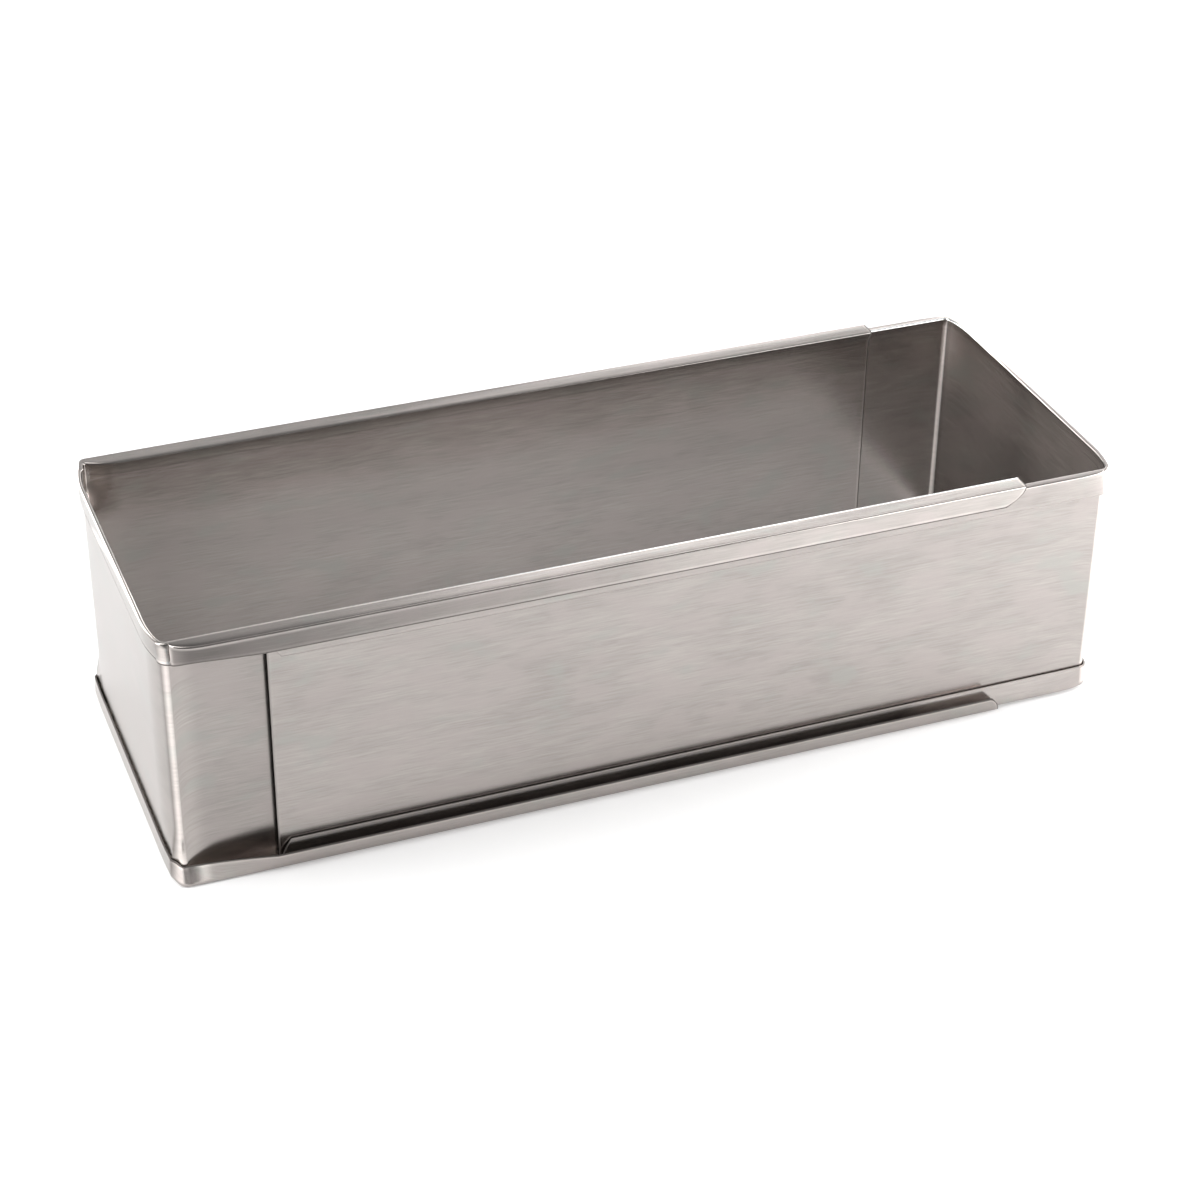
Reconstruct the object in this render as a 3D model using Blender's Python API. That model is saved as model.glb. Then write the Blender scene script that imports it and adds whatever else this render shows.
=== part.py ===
"""Extending rectangular sheet frame: two folded steel halves, one sliding in the rails of the other.

Each half is one strip of sheet bent into a U, with its top and bottom edges folded outward.
On the rail half those edges open along both legs into channels; the sliding half has narrower
hems, and they run inside the channels. World axes: +X along the slide, towards the end of the
sliding half, +Y to the back, +Z up. The origin is on the resting plane, at the middle of the
closed frame. Units are metres.
"""

import math
from dataclasses import dataclass, replace

import bmesh
import bpy
from mathutils import Vector

# ---- overall sizes, closed ----
CLOSED_LENGTH = 0.332
WIDTH = 0.126             # over the outer folds of the channels, without the flare of their lips
HEIGHT = 0.090
SHEET = 0.0005

# ---- clearances between the two halves ----
SLIDE_GAP = 0.0003        # under the sliding half, and beside its hems
TOP_GAP = 0.0007          # over the sliding half
STOP_GAP = 0.0005         # from the closed sliding leg to where its channel begins to close

# ---- rail half ----
CHANNEL_DEPTH = 0.0067    # from the inside of the wall to the outer fold, along the legs
CHANNEL_LIP = 0.0070
TOP_FLARE = 0.0002        # how far the free edge of a top lip stands out past its fold
BOTTOM_FLARE = 0.0021
TOP_CORNER_INSET = 0.0025     # of the lips' free edges at the corners, from the legs' fold
BOTTOM_CORNER_INSET = 0.0028
OPENING_RUN = 0.0285      # length of leg over which the lips open out from the corner
RAIL_LEG_MARGIN = 0.0360  # from the ends of the top channels to the far end of the closed frame
WALL_SETBACK = 0.0010     # of the ends of the walls from the ends of the top channels
BOTTOM_SETBACK = 0.0024   # and of the ends of the bottom channels
TOP_RELIEF = 0.0070       # how far the lip ends are cut back at their free corners
BOTTOM_RELIEF = 0.0036
END_FLARE = 0.0015        # the end's bottom fold stands out by this at its corners

# ---- sliding half ----
HEM_DEPTH = 0.0030
HEM_TOP_LIP = 0.0088
HEM_BOTTOM_LIP = 0.0081
HEM_RELIEF = 0.0040

# ---- both halves ----
END_DEPTH = 0.0018        # of the hems across the ends
END_LEAN = -0.0003        # of the lips across the ends
PINCH_GAP = 0.0003        # left between a pinched lip and its wall
CORNER_RADIUS = 0.0020    # inside of the wall
CLOSING_RUN = 0.011       # a fold that draws in to its corner does so over this length of leg
BULGE_RUN = 0.012         # a wall stands out to a lip over this length of leg, by the corner
BULGE_RISE = 0.012        # and over this height past the lip
EASE_RUN = 0.0134         # each end wall turns in over this length before its corners
EASE_DEPTH = 0.0018
FOLD_RADIUS = 0.0005      # along the middle of the sheet

# ---- fineness ----
FOLD_STEPS = 2
CORNER_STEPS = 6
EASE_STEPS = 3
LEG_STEPS = 6
BULGE_STEPS = 3
FOLD_CORNER = 6           # the larger, the squarer the folds turn the corner
RELIEF_RUN = 2.0          # the rings before a leg end are sheared over this many reliefs
LIP_SHARES = (0.4, 0.75, 1.0)

STEEL_COLOUR = (0.62, 0.60, 0.58, 1.0)
STEEL_ROUGHNESS = 0.32


@dataclass(frozen=True)
class Hem:
    """One folded edge of a half."""

    lip: float            # length of the lip
    corner_free: float    # depth of the lip's free edge where the leg leaves the corner
    leg_free: float       # and along the open leg
    relief: float
    drawn_in: bool        # the fold narrows to the corner, and else it stands
    end_flare: float = 0.0
    setback: float = 0.0


@dataclass(frozen=True)
class Half:
    """The sizes of one U, its closed end at -X and its legs running to +X."""

    end_x: float          # outermost fold of the end
    leg_x: float          # ends of the legs
    fold_y: float         # outer folds of the legs, to each side of the middle
    leg_depth: float      # depth of the hems along the legs
    base_z: float
    height: float
    top: Hem
    bottom: Hem
    wall_setback: float = 0.0


@dataclass(frozen=True)
class Edge:
    """One folded edge at one place: depths outward from the inside of the wall."""

    fold: float
    free: float           # of the lip's free edge
    bulge: float          # how far the wall stands out to the lip


@dataclass(frozen=True)
class Station:
    """One place on the plan of the wall where a ring of the section is set."""

    point: Vector         # inside face of the wall
    outward: Vector
    top: Edge
    bottom: Edge
    to_end: float         # distance back from the leg's end


def clear_scene():
    """Remove every object that the file starts with."""
    for thing in list(bpy.data.objects):
        bpy.data.objects.remove(thing, do_unlink=True)


def steel(name):
    """A brushed stainless steel material."""
    material = bpy.data.materials.new(name)
    material.use_nodes = True
    shader = material.node_tree.nodes["Principled BSDF"]
    shader.inputs["Base Color"].default_value = STEEL_COLOUR
    shader.inputs["Metallic"].default_value = 1.0
    shader.inputs["Roughness"].default_value = STEEL_ROUGHNESS
    return material


def round_corners(points, radius, steps):
    """Replace each inner corner of an open outline by an arc that is tangent to its sides."""
    rounded = [points[0]]
    for before, corner, after in zip(points, points[1:], points[2:]):
        back = (before - corner).normalized()
        ahead = (after - corner).normalized()
        half_angle = back.angle(ahead) / 2
        centre = corner + (back + ahead).normalized() * (radius / math.sin(half_angle))
        start = corner + back * (radius / math.tan(half_angle)) - centre
        end = corner + ahead * (radius / math.tan(half_angle)) - centre
        sweep = math.pi - 2 * half_angle
        for step in range(steps + 1):
            share = step / steps
            arm = (start * math.sin((1 - share) * sweep) + end * math.sin(share * sweep))
            rounded.append(centre + arm / math.sin(sweep))
    rounded.append(points[-1])
    return rounded


def both_faces(points, thickness):
    """The closed outline of a sheet whose middle runs along the points."""
    sides = ([], [])
    for index, point in enumerate(points):
        normals = []
        for start, end in ((index - 1, index), (index, index + 1)):
            if start >= 0 and end < len(points):
                run = (points[end] - points[start]).normalized()
                normals.append(Vector((-run.y, run.x)))
        mitre = sum(normals, Vector((0.0, 0.0))).normalized()
        reach = thickness / 2 / mitre.dot(normals[0])
        sides[0].append(point + mitre * reach)
        sides[1].append(point - mitre * reach)
    return sides[0] + sides[1][::-1]


def lip_points(fold, lip, lean, up):
    """Points along the middle of a lip, from near its fold to its free edge."""
    rise = up * math.sqrt(lip ** 2 - lean ** 2)
    return [fold + Vector((lean, rise)) * share for share in LIP_SHARES]


def smooth(share):
    """A rise from 0 to 1 that starts and ends level."""
    share = min(max(share, 0.0), 1.0)
    return share * share * (3 - 2 * share)


def wall_points(half, station):
    """Points along the middle of the wall, from the top fold to the bottom one."""
    mid = SHEET / 2
    points = [Vector((mid + station.top.bulge, half.height - mid))]
    for step in range(BULGE_STEPS + 1):
        share = step / BULGE_STEPS
        drop = half.top.lip + BULGE_RISE * share
        points.append(Vector((mid + station.top.bulge * smooth(1 - share), half.height - drop)))
    for step in range(BULGE_STEPS + 1):
        share = step / BULGE_STEPS
        rise = half.bottom.lip + BULGE_RISE * (1 - share)
        points.append(Vector((mid + station.bottom.bulge * smooth(share), rise)))
    points.append(Vector((mid + station.bottom.bulge, mid)))
    return points


def section(half, station):
    """The sheet's outline in the plane of a station: (outward, up, cut back) for each point."""
    mid = SHEET / 2
    top_fold = Vector((station.top.fold - mid, half.height - mid))
    bottom_fold = Vector((station.bottom.fold - mid, mid))
    top_lip = lip_points(top_fold, half.top.lip - mid, station.top.free - station.top.fold, -1)
    bottom_lip = lip_points(bottom_fold, half.bottom.lip - mid,
                            station.bottom.free - station.bottom.fold, 1)
    wall = wall_points(half, station)
    above = round_corners([top_lip[0], top_fold, wall[0], wall[1]], FOLD_RADIUS, FOLD_STEPS)
    below = round_corners([wall[-2], wall[-1], bottom_fold, bottom_lip[0]], FOLD_RADIUS, FOLD_STEPS)
    reliefs = [1 - math.cos(share * math.pi / 2) for share in LIP_SHARES]
    arc = FOLD_STEPS + 1
    cuts = [half.top.relief * share for share in reliefs[::-1]] + [0.0] * (2 * arc)
    cuts += [half.wall_setback] * (len(wall) - 2 + arc)
    cuts += [half.bottom.setback] * arc
    cuts += [half.bottom.setback + half.bottom.relief * share for share in reliefs]
    outline = both_faces(top_lip[:0:-1] + above + wall[2:-2] + below + bottom_lip[1:], SHEET)
    return [(point.x, point.y, cut) for point, cut in zip(outline, cuts + cuts[::-1])]


def relief_run(half):
    """Length of leg over which the rings are sheared back to its cut ends."""
    return RELIEF_RUN * max(half.top.relief, half.bottom.relief)


def end_slope(share):
    """Slope of an end wall on its eased stretch: 1 at the bend, 0 where the end runs flat."""
    return math.atan(2 * EASE_DEPTH / EASE_RUN * share)


def bend_centre(half):
    """Centre of the front corner's bend."""
    x = half.end_x + END_DEPTH + EASE_DEPTH + CORNER_RADIUS * math.cos(end_slope(1))
    return Vector((x, -half.fold_y + half.leg_depth + CORNER_RADIUS))


def touching(free):
    """How far a wall stands out where it touches a lip whose free edge is at a depth."""
    return max(free - 2 * SHEET - PINCH_GAP, 0.0)


def leg_edge(half, hem, along):
    """A folded edge of the leg, at a distance along it from the bend."""
    opened = min(along / OPENING_RUN, 1.0)
    free = hem.corner_free + (hem.leg_free - hem.corner_free) * opened
    if not hem.drawn_in:
        left = max(0.0, 1 - along / BULGE_RUN)
        return Edge(half.leg_depth, free, touching(hem.corner_free) * left ** 2)
    left = max(0.0, 1 - along / CLOSING_RUN)
    fold = END_DEPTH + (half.leg_depth - END_DEPTH) * math.sqrt(1 - left ** 2)
    return Edge(fold, free, 0.0)


def bend_edge(half, hem, share):
    """A folded edge round the bend. One that stands keeps near the lines of the folds by it."""
    start = leg_edge(half, hem, 0.0)
    if hem.drawn_in:
        free = start.free * (1 - share) + (END_DEPTH + END_LEAN) * share
        return Edge(END_DEPTH, free, 0.0)
    last = math.pi / 2 - end_slope(1)
    angle = last * share
    to_leg_fold = (CORNER_RADIUS + half.leg_depth) / max(math.cos(angle), 0.01)
    to_end_fold = (CORNER_RADIUS + END_DEPTH + hem.end_flare) / max(math.cos(last - angle), 0.01)
    blend = to_leg_fold ** -FOLD_CORNER + to_end_fold ** -FOLD_CORNER
    fold = blend ** (-1 / FOLD_CORNER) - CORNER_RADIUS
    inset = (start.fold - start.free) * (1 - share) - END_LEAN * share
    return Edge(fold, fold - inset, touching(fold - inset))


def end_edge(hem, share):
    """A folded edge of the end, on its eased stretch: 1 at the bend, 0 where the end runs flat."""
    fold = END_DEPTH + hem.end_flare * share ** 2
    free = fold + END_LEAN
    return Edge(fold, free, touching(free) * share)


def leg_station(half, along, to_end):
    """A station on the front leg, at a distance along it from the bend."""
    point = Vector((bend_centre(half).x + along, -half.fold_y + half.leg_depth))
    return Station(point, Vector((0.0, -1.0)), leg_edge(half, half.top, along),
                   leg_edge(half, half.bottom, along), to_end)


def bend_station(half, share):
    """A station on the front corner's bend."""
    angle = (math.pi / 2 - end_slope(1)) * share
    outward = Vector((-math.sin(angle), -math.cos(angle)))
    point = bend_centre(half) + outward * CORNER_RADIUS
    return Station(point, outward, bend_edge(half, half.top, share),
                   bend_edge(half, half.bottom, share), half.leg_x * 2)


def end_station(half, share):
    """A station on the end's eased stretch: 1 at the bend, 0 where the end runs flat."""
    edge_y = bend_centre(half).y - CORNER_RADIUS * math.sin(end_slope(1))
    point = Vector((half.end_x + END_DEPTH + EASE_DEPTH * share ** 2,
                    edge_y + EASE_RUN * (1 - share)))
    outward = Vector((-math.cos(end_slope(share)), -math.sin(end_slope(share))))
    return Station(point, outward, end_edge(half.top, share), end_edge(half.bottom, share),
                   half.leg_x * 2)


def front_stations(half):
    """Stations from the end of the front leg round to the flat of the end wall."""
    length = half.leg_x - bend_centre(half).x
    run = relief_run(half)
    stations = [leg_station(half, length - back, back) for back in (0.0, run / 2, run)]
    stations.append(leg_station(half, OPENING_RUN, length))
    for step in range(LEG_STEPS, -1, -1):
        along = BULGE_RUN * (step / LEG_STEPS) ** 2
        stations.append(leg_station(half, along, length))
    stations += [bend_station(half, step / CORNER_STEPS) for step in range(1, CORNER_STEPS + 1)]
    stations += [end_station(half, 1 - step / EASE_STEPS) for step in range(1, EASE_STEPS + 1)]
    return stations


def mirrored(stations):
    """The same stations on the back of the half, in the order that goes on round it."""
    flip = Vector((1.0, -1.0))
    return [replace(station, point=station.point * flip, outward=station.outward * flip)
            for station in reversed(stations)]


def folded_sheet(name, half, back_top):
    """Sweep the section along the U, with its own top hem at the back, and close the leg ends."""
    stations = front_stations(half) + mirrored(front_stations(replace(half, top=back_top)))
    mesh = bmesh.new()
    rings = []
    for station in stations:
        ring = []
        for out, up, cut in section(half, station):
            place = station.point + station.outward * out
            back = cut * max(0.0, 1 - station.to_end / relief_run(half))
            ring.append(mesh.verts.new((place.x - back, place.y, half.base_z + up)))
        rings.append(ring)
    count = len(rings[0])
    for ring, following in zip(rings, rings[1:]):
        for index in range(count):
            after = (index + 1) % count
            mesh.faces.new((ring[index], ring[after], following[after], following[index]))
    for ring in (rings[0], rings[-1]):
        for index in range(count // 2 - 1):
            mesh.faces.new((ring[index], ring[index + 1],
                            ring[count - 2 - index], ring[count - 1 - index]))
    bmesh.ops.recalc_face_normals(mesh, faces=mesh.faces)
    data = bpy.data.meshes.new(name)
    mesh.to_mesh(data)
    mesh.free()
    data.shade_smooth()
    data.set_sharp_from_angle(angle=math.radians(40))
    sheet = bpy.data.objects.new(name, data)
    bpy.context.collection.objects.link(sheet)
    data.materials.append(steel(name + "_steel"))
    return sheet


def rail_half():
    """The half whose open hems are the rails."""
    top = Hem(
        lip=CHANNEL_LIP,
        corner_free=CHANNEL_DEPTH - TOP_CORNER_INSET,
        leg_free=CHANNEL_DEPTH + TOP_FLARE,
        relief=TOP_RELIEF,
        drawn_in=True,
    )
    bottom = Hem(
        lip=CHANNEL_LIP,
        corner_free=CHANNEL_DEPTH - BOTTOM_CORNER_INSET,
        leg_free=CHANNEL_DEPTH + BOTTOM_FLARE,
        relief=BOTTOM_RELIEF,
        drawn_in=False,
        end_flare=END_FLARE,
        setback=BOTTOM_SETBACK,
    )
    return Half(
        end_x=-CLOSED_LENGTH / 2,
        leg_x=CLOSED_LENGTH / 2 - RAIL_LEG_MARGIN,
        fold_y=WIDTH / 2,
        leg_depth=CHANNEL_DEPTH,
        base_z=0.0,
        height=HEIGHT,
        top=top,
        bottom=bottom,
        wall_setback=WALL_SETBACK,
    )


def sliding_half(rail):
    """The half whose hems run inside the rails, drawn with its end at -X as well."""
    pinched = 2 * SHEET + PINCH_GAP
    return Half(
        end_x=-CLOSED_LENGTH / 2,
        leg_x=-bend_centre(rail).x - OPENING_RUN - STOP_GAP,
        fold_y=rail.fold_y - SHEET - SLIDE_GAP,
        leg_depth=HEM_DEPTH,
        base_z=SHEET + SLIDE_GAP,
        height=HEIGHT - 2 * SHEET - SLIDE_GAP - TOP_GAP,
        top=Hem(HEM_TOP_LIP, HEM_DEPTH, HEM_DEPTH, HEM_RELIEF, drawn_in=True),
        bottom=Hem(HEM_BOTTOM_LIP, pinched, pinched, HEM_RELIEF, drawn_in=True),
    )


def main():
    """Build both halves, the sliding one turned round to face the rail half."""
    clear_scene()
    rail = rail_half()
    folded_sheet("rail_half", rail, replace(rail.top, drawn_in=False))
    sliding = sliding_half(rail)
    slider = folded_sheet("sliding_half", sliding, sliding.top)
    slider.rotation_euler.z = math.pi


main()
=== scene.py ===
"""Extendable steel frame: the finished look of its two folded halves, in a plain studio.

Each half is one strip of brushed stainless sheet, bent into a U. Its top and bottom edges are
folded outward, so each half is built here as a fine section swept along its plan. The section
changes along the way: the folds stand open as channels or lie pinched, they draw in to a corner
or stand out at it, and the lips are cut back at the ends of the legs. World axes are those of
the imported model: +X along the slide, +Y to the back, +Z up, in metres.
"""

from __future__ import annotations

import logging
import math
from dataclasses import dataclass, field, replace
from enum import Enum
from typing import Sequence

import bmesh
import bpy
from mathutils import Matrix, Vector

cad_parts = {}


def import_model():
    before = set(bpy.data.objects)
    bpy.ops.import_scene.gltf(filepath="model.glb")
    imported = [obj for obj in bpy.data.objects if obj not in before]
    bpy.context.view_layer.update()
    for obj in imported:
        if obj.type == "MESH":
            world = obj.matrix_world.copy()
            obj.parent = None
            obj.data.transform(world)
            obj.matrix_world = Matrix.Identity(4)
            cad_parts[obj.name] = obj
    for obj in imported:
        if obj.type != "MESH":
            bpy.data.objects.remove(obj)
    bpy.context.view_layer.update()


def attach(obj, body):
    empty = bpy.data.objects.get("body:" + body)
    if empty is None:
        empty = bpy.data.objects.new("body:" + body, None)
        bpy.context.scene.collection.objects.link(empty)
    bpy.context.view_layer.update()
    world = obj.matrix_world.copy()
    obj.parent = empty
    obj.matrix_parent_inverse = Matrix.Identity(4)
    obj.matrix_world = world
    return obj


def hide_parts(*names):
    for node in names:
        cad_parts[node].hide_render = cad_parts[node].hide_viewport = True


LOG = logging.getLogger("extendable_frame")

# What each mesh carries for its finish: the flat sheet's own map, and three numbers.
SHEET_MAP = "flat_sheet"
PAINTED_LIGHT_TONE = "tone"
EDGE_DISTANCE = "edge_distance"
FOLD_DISTANCE = "fold_distance"

FAR = 1.0  # metres: further than any distance that matters on a sheet
NO_BEND = -1.0  # the place round a bend of a station that isn't on one
SHARP_ANGLE = 35.0  # degrees: faces that turn by more than this keep a crisp edge between them
LEAST_COSINE = 0.01  # keeps a division by a cosine finite at a right angle

# The colour sockets of a Mix node, which has sockets for every kind of data.
MIX_FACTOR, MIX_LOW, MIX_HIGH, MIX_RESULT = 0, 6, 7, 2

Colour = tuple[float, float, float, float]
Socket = bpy.types.NodeSocket
Ring = list[bmesh.types.BMVert]
# A point's place along and across the flat sheet, painted light tone, edge distance and fold
# distance.
Traits = tuple[float, float, float, float, float]


# ======== Shader graphs written as expressions ========


class Value:
    """A number that changes over a surface: one output socket, with the usual operators."""

    def __init__(self, graph: "Graph", socket: Socket) -> None:
        """Wrap an output socket.

        Args:
            graph: The graph that the socket belongs to.
            socket: The output socket that carries the number.
        """
        self.graph = graph
        self.socket = socket

    def _with(self, operation: str, *others: object) -> "Value":
        """Send the value and others through one Math node."""
        return self.graph.maths(operation, self, *others)

    def __add__(self, other: object) -> "Value":
        """Return self + other."""
        return self._with("ADD", other)

    __radd__ = __add__

    def __mul__(self, other: object) -> "Value":
        """Return self * other."""
        return self._with("MULTIPLY", other)

    __rmul__ = __mul__

    def __sub__(self, other: object) -> "Value":
        """Return self - other."""
        return self._with("SUBTRACT", other)

    def __rsub__(self, other: object) -> "Value":
        """Return other - self."""
        return self.graph.maths("SUBTRACT", other, self)

    def __abs__(self) -> "Value":
        """Return the value without its sign."""
        return self._with("ABSOLUTE")

    def clamped(self) -> "Value":
        """Return the value held between 0 and 1."""
        return self._with("MINIMUM", 1.0)._with("MAXIMUM", 0.0)

    def ramp(self, start: float, end: float) -> "Value":
        """Return a smooth rise from 0 at start to 1 at end, or a fall if end is below start."""
        node = self.graph.node(
            "ShaderNodeMapRange",
            {"interpolation_type": "SMOOTHSTEP"},
            {"Value": self, "From Min": start, "From Max": end},
        )
        return Value(self.graph, node.outputs["Result"])


class Graph:
    """The node tree of one material, with its Principled shader."""

    def __init__(self, name: str) -> None:
        """Make an empty material.

        Args:
            name: The material's name.
        """
        self.material = bpy.data.materials.new(name)
        self.material.use_nodes = True
        self.nodes = self.material.node_tree.nodes
        self.links = self.material.node_tree.links
        self.shader = self.nodes["Principled BSDF"]

    def node(self, kind: str, settings: dict[str, object],
             inputs: dict[object, object]) -> bpy.types.Node:
        """Add a node.

        Args:
            kind: The node's type, such as "ShaderNodeTexNoise".
            settings: Values of the node's own properties, which are set first.
            inputs: Values or links of its sockets, by name or number.

        Returns:
            The new node.
        """
        made = self.nodes.new(kind)
        for name, value in settings.items():
            setattr(made, name, value)
        for name, value in inputs.items():
            self.feed(made.inputs[name], value)
        return made

    def feed(self, socket: Socket, value: object) -> None:
        """Link or set one input socket.

        Args:
            socket: The input socket.
            value: A Value, an output socket, or a plain number or colour.
        """
        if isinstance(value, Value):
            value = value.socket
        if isinstance(value, Socket):
            self.links.new(value, socket)
        else:
            socket.default_value = value

    def maths(self, operation: str, *terms: object) -> Value:
        """Return the result of one Math node over its terms."""
        node = self.node("ShaderNodeMath", {"operation": operation}, dict(enumerate(terms)))
        return Value(self, node.outputs[0])

    def trait(self, name: str) -> Value:
        """Return a number that the mesh carries at each corner, by its name."""
        node = self.node("ShaderNodeAttribute", {"attribute_name": name}, {})
        return Value(self, node.outputs["Fac"])

    def noise(self, scales: Sequence[float], shift: Sequence[float], detail: float,
              roughness: float) -> Value:
        """Return soft noise on the flat sheet.

        Args:
            scales: The noise's scales along and across the strip, per metre.
            shift: Added to the scaled place.
            detail: How many finer layers the noise has.
            roughness: How strong they are.

        Returns:
            The noise.
        """
        sheet = self.node("ShaderNodeUVMap", {"uv_map": SHEET_MAP}, {})
        place = self.node("ShaderNodeVectorMath", {"operation": "MULTIPLY_ADD"},
                          {0: sheet.outputs["UV"], 1: (*scales, 0.0), 2: tuple(shift)})
        node = self.node("ShaderNodeTexNoise", {"noise_dimensions": "3D"},
                         {"Vector": place.outputs["Vector"], "Scale": 1.0, "Detail": detail,
                          "Roughness": roughness})
        return Value(self, node.outputs["Fac"])

    def mix(self, factor: object, low: object, high: object) -> Socket:
        """Return a colour between two.

        Args:
            factor: 0 for the first colour and 1 for the second.
            low: The first colour.
            high: The second colour.

        Returns:
            The mixed colour's socket.
        """
        node = self.node("ShaderNodeMix", {"data_type": "RGBA"},
                         {MIX_FACTOR: factor, MIX_LOW: low, MIX_HIGH: high})
        return node.outputs[MIX_RESULT]

    def scaled(self, colour: Socket, gain: Value) -> Socket:
        """Return a colour times a number, by vector maths."""
        node = self.node("ShaderNodeVectorMath", {"operation": "SCALE"}, {0: colour, "Scale": gain})
        return node.outputs["Vector"]

    def bump(self, height: Value, distance: float) -> None:
        """Feed a height in units of distance to the shader's normal."""
        node = self.node("ShaderNodeBump", {},
                         {"Height": height, "Distance": distance, "Strength": 1.0})
        self.links.new(node.outputs["Normal"], self.shader.inputs["Normal"])


@dataclass(frozen=True)
class BrushedSteel:
    """Cold-rolled stainless sheet with a fine grain along the strip. Lengths are in metres.

    Attributes:
        light: Colour of the grain's bright lines.
        dark: Colour of the grain's dark lines.
        warm, green: Colours of the soft blotches.
        cut_edge_and_shade: Colour of the cut edges and of the band by each free edge, dark as
            painted shade.
        blotch_share: How much of a blotch's colour shows at its middle.
        warm_ramp, green_ramp: Blotch noise at which each colour starts, and is full.
        roughness_swing: How far the grain and the clouds move the roughness.
        sheared_roughness: Added to the roughness on the cut edges.
        grain_length, grain_width: Size of the finest grain's streaks.
        coarse: Scales of the coarser grain along and across the strip, times the fine one's.
        coarse_share: The coarser grain's part of the whole.
        cloud: Size of the soft clouds.
        cloud_scales, blotch_scales: Scales along and across the strip, over that size.
        wave_height, wave_scales: Height of the sheet's slow waves, and their scales.
        edge_shade_width: Width of the band by a free edge that is painted dark as shade.
        edge_highlight_width, edge_highlight_gain: Reach and strength of the painted highlight by a
        free edge.
        crease_width, crease_loss: Half width of the faint dark line below the top fold, and its
            strength.
        rim_width, rim_gain: Half width of the painted highlight on the top fold, and its strength.
    """

    light: Colour = (0.465, 0.430, 0.409, 1.0)
    dark: Colour = (0.341, 0.315, 0.299, 1.0)
    warm: Colour = (0.428, 0.386, 0.372, 1.0)
    green: Colour = (0.382, 0.381, 0.358, 1.0)
    cut_edge_and_shade: Colour = (0.150, 0.138, 0.130, 1.0)
    blotch_share: float = 0.6
    warm_ramp: tuple[float, float] = (0.48, 0.66)
    green_ramp: tuple[float, float] = (0.44, 0.28)
    roughness: float = 0.22
    roughness_swing: float = 0.10
    sheared_roughness: float = 0.25
    grain_length: float = 0.009
    grain_width: float = 0.00032
    coarse: tuple[float, float] = (0.35, 0.22)
    coarse_share: float = 0.22
    grain_contrast: float = 2.4
    cloud: float = 0.030
    cloud_scales: tuple[float, float] = (1.0, 1.6)
    blotch_scales: tuple[float, float] = (2.0, 3.5)
    cloud_contrast: float = 1.0
    grain_height: float = 0.0000035
    wave_height: float = 0.00006
    wave_scales: tuple[float, float] = (9.0, 26.0)
    edge_shade_width: float = 0.00040
    edge_highlight_width: float = 0.0011
    edge_highlight_gain: float = 0.22
    crease_width: float = 0.00035
    crease_loss: float = 0.16
    rim_width: float = 0.0010
    rim_gain: float = 1.0

    def dress(self, name: str, seed: float, crease: float) -> bpy.types.Material:
        """Make the finish's material.

        Args:
            name: The material's name.
            seed: Shifts the patterns, so that the two sheets differ.
            crease: How far below the top fold the faint dark line lies.

        Returns:
            The material.
        """
        graph = Graph(name)
        fine_scales = (1 / self.grain_length, 1 / self.grain_width)
        coarse_scales = [part * scale for part, scale in zip(self.coarse, fine_scales)]
        cloud_scales = [scale / self.cloud for scale in self.cloud_scales]
        blotch_scales = [scale / self.cloud for scale in self.blotch_scales]
        shift = (seed, seed * 0.7, seed * 1.3)
        fine = graph.noise(fine_scales, shift, 3.0, 0.6)
        coarse = graph.noise(coarse_scales, shift, 2.0, 0.5)
        cloud = graph.noise(cloud_scales, shift, 3.0, 0.55)
        blotch = graph.noise(blotch_scales, shift, 2.0, 0.5)
        wave = graph.noise(self.wave_scales, shift, 1.0, 0.4)
        grain = (1 - self.coarse_share) * fine + self.coarse_share * coarse
        tone = ((grain - 0.5) * self.grain_contrast
                + (cloud - 0.5) * self.cloud_contrast + 0.5).clamped()
        colour = graph.mix(tone, self.dark, self.light)
        colour = graph.mix(blotch.ramp(*self.warm_ramp) * self.blotch_share, colour, self.warm)
        colour = graph.mix(blotch.ramp(*self.green_ramp) * self.blotch_share, colour, self.green)
        fold = graph.trait(FOLD_DISTANCE)
        edge = graph.trait(EDGE_DISTANCE)
        # Painted highlight: a bright line along each free edge, just past the painted edge shade.
        edge_highlight = edge.ramp(self.edge_shade_width * 0.8, self.edge_shade_width * 1.6)
        edge_highlight = edge_highlight * edge.ramp(self.edge_highlight_width * 1.4, self.edge_highlight_width * 0.8)
        line = abs(fold - crease).ramp(self.crease_width, 0.0)
        # Painted highlight: a bright line along the top fold.
        rim = abs(fold).ramp(self.rim_width, self.rim_width * 0.3)
        # The tone that the mesh carries is painted light and shade, which scales the sheet's
        # colour.
        gain = graph.trait(PAINTED_LIGHT_TONE) * (edge_highlight * self.edge_highlight_gain + 1.0)
        gain = gain * (1.0 - line * self.crease_loss) * (rim * self.rim_gain + 1.0)
        colour = graph.scaled(colour, gain)
        # Painted shade: the cut edges and a thin band by each free edge go dark, for the gaps and
        # shadow lines there.
        cut = edge.ramp(self.edge_shade_width * 1.25, self.edge_shade_width * 0.75)
        colour = graph.mix(cut, colour, self.cut_edge_and_shade)
        graph.feed(graph.shader.inputs["Base Color"], colour)
        graph.feed(graph.shader.inputs["Roughness"],
                   self.roughness + (grain - 0.5) * self.roughness_swing
                   + (cloud - 0.5) * self.roughness_swing + cut * self.sheared_roughness)
        graph.shader.inputs["Metallic"].default_value = 1.0
        graph.bump(grain * (self.grain_height / self.wave_height) + wave, self.wave_height)
        return graph.material


# ======== Folded sheet ========


class Fold(Enum):
    """What a folded edge does where its leg meets the corner."""

    DRAWN_IN = "the fold narrows to the corner"
    STANDING = "the fold stands, and the wall comes out to the lip"


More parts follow.
